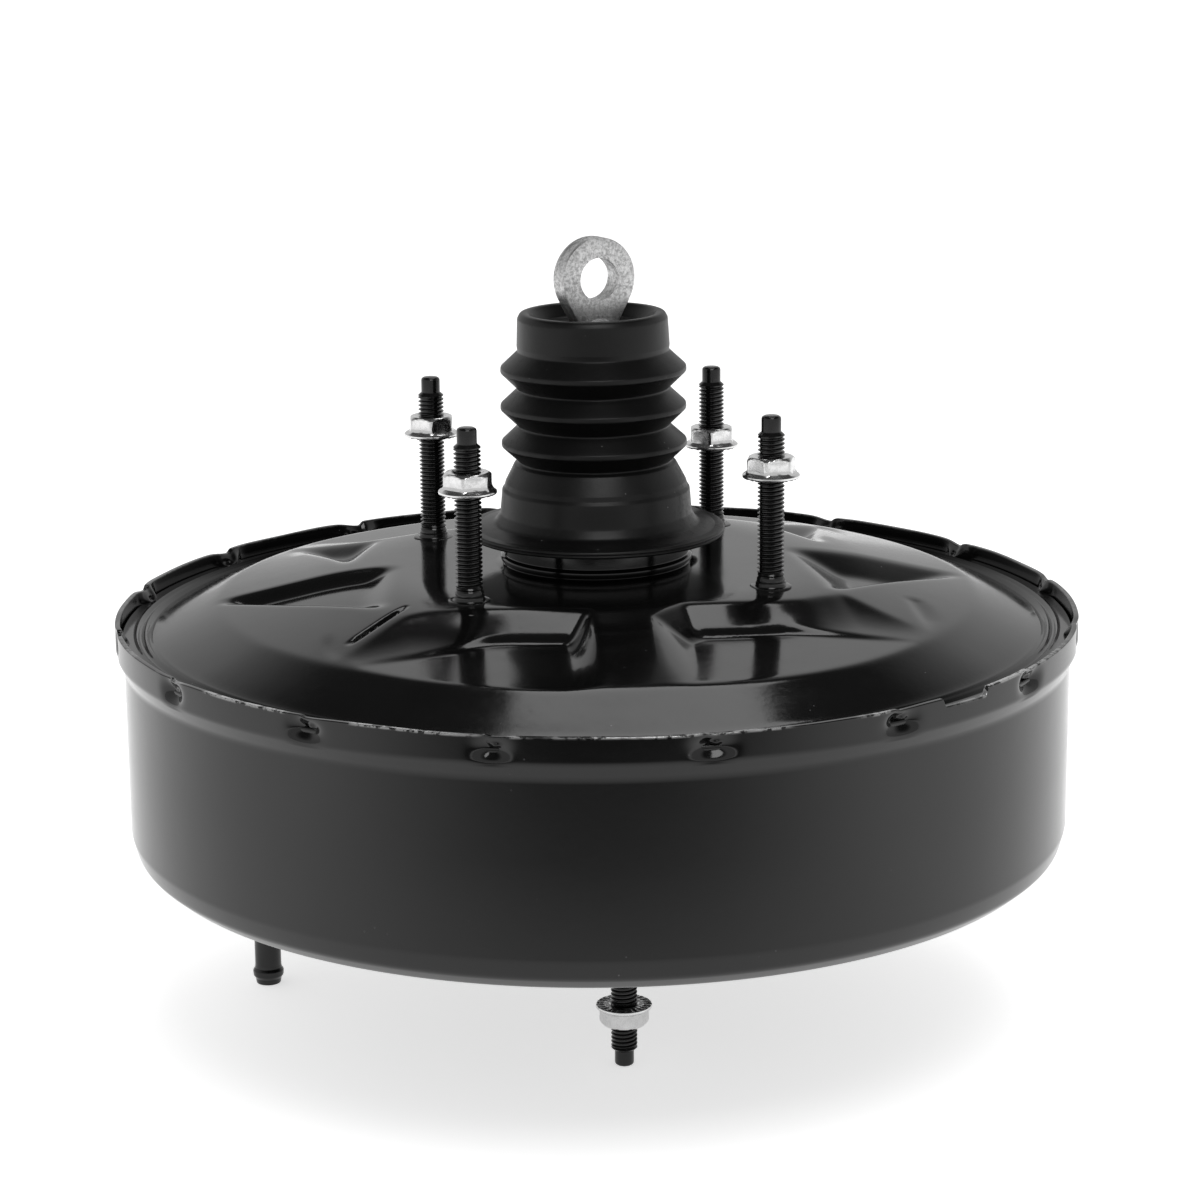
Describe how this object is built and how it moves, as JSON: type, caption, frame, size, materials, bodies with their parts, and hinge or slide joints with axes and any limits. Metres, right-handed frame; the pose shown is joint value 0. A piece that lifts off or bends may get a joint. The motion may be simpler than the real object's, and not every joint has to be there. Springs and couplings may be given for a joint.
{
  "type": "brake booster",
  "caption": "Single-diaphragm vacuum brake booster with star-ribbed cover, threaded studs, rubber boot and an eye-type push rod.",
  "frame": {"origin": "centre of the four firewall studs, on the face of the plateau they stand on", "axes": "+Z along the booster's axis towards the pedal; X and Y along the sides of the firewall stud rectangle, X the longer"},
  "size_m": [0.2906, 0.2906, 0.2443],
  "materials": {
    "shell_paint": "glossy black paint on drawn steel",
    "stud_black": "black finished steel thread",
    "nut_zinc": "bright zinc plate",
    "rod_zinc": "zinc plate with a coarse spangle",
    "boot_rubber": "matte moulded black rubber",
    "seal_rubber": "smooth black rubber",
    "bare_steel": "clean machined or pressed steel",
    "spring_steel": "oiled spring steel",
    "phenolic": "brown moulded phenolic",
    "white_plastic": "off-white acetal",
    "filter_felt": "grey felt",
    "filter_foam": "open-cell dark foam"
  },
  "bodies": {
    "housing": {"front_shell": "shell_paint", "rear_shell": "shell_paint", "rear_reinforcement": "bare_steel", "front_reinforcement": "bare_steel", "firewall_studs": "stud_black", "firewall_nuts": "nut_zinc", "master_cylinder_studs": "stud_black", "master_cylinder_nuts": "nut_zinc", "vacuum_nipple": "shell_paint", "dust_boot": "boot_rubber", "diaphragm": "seal_rubber", "rear_bearing": "white_plastic", "rear_seal": "seal_rubber", "rear_bearing_retainer": "bare_steel", "front_seal": "seal_rubber", "front_seal_retainer": "bare_steel", "return_spring": "spring_steel"},
    "power_piston": {"diaphragm_plate": "bare_steel", "diaphragm_retainer": "bare_steel", "valve_body": "phenolic", "valve_key": "bare_steel", "poppet_valve": "seal_rubber", "poppet_retainer": "bare_steel", "poppet_spring": "spring_steel", "input_spring": "spring_steel", "air_filter": "filter_felt", "silencer": "filter_foam", "reaction_disc": "seal_rubber", "output_rod": "bare_steel", "output_rod_retainer": "spring_steel", "output_rod_tip": "bare_steel"},
    "control_plunger": {"valve_plunger": "bare_steel"},
    "push_rod": {"input_rod": "rod_zinc", "input_spring_seat": "bare_steel"}
  },
  "joints": [
    {"name": "piston_slide", "type": "slide", "parent": "housing", "child": "power_piston", "axis": [0, 0, -1], "range_m": [0, 0.034], "stiffness_N_per_m": 3500, "springref_m": -0.03, "deforming": ["return_spring", "dust_boot", "diaphragm"]},
    {"name": "plunger_slide", "type": "slide", "parent": "power_piston", "child": "control_plunger", "axis": [0, 0, -1], "range_m": [0, 0.001], "stiffness_N_per_m": 3000, "springref_m": -0.008, "deforming": ["input_spring", "poppet_spring", "poppet_valve"]},
    {"name": "push_rod_tilt", "type": "hinge", "parent": "control_plunger", "child": "push_rod", "pos_m": [0, 0, 0.003], "axis": [0.3486, -0.9373, 0], "range_deg": [-3, 3], "stiffness_Nm_per_rad": 4}
  ]
}
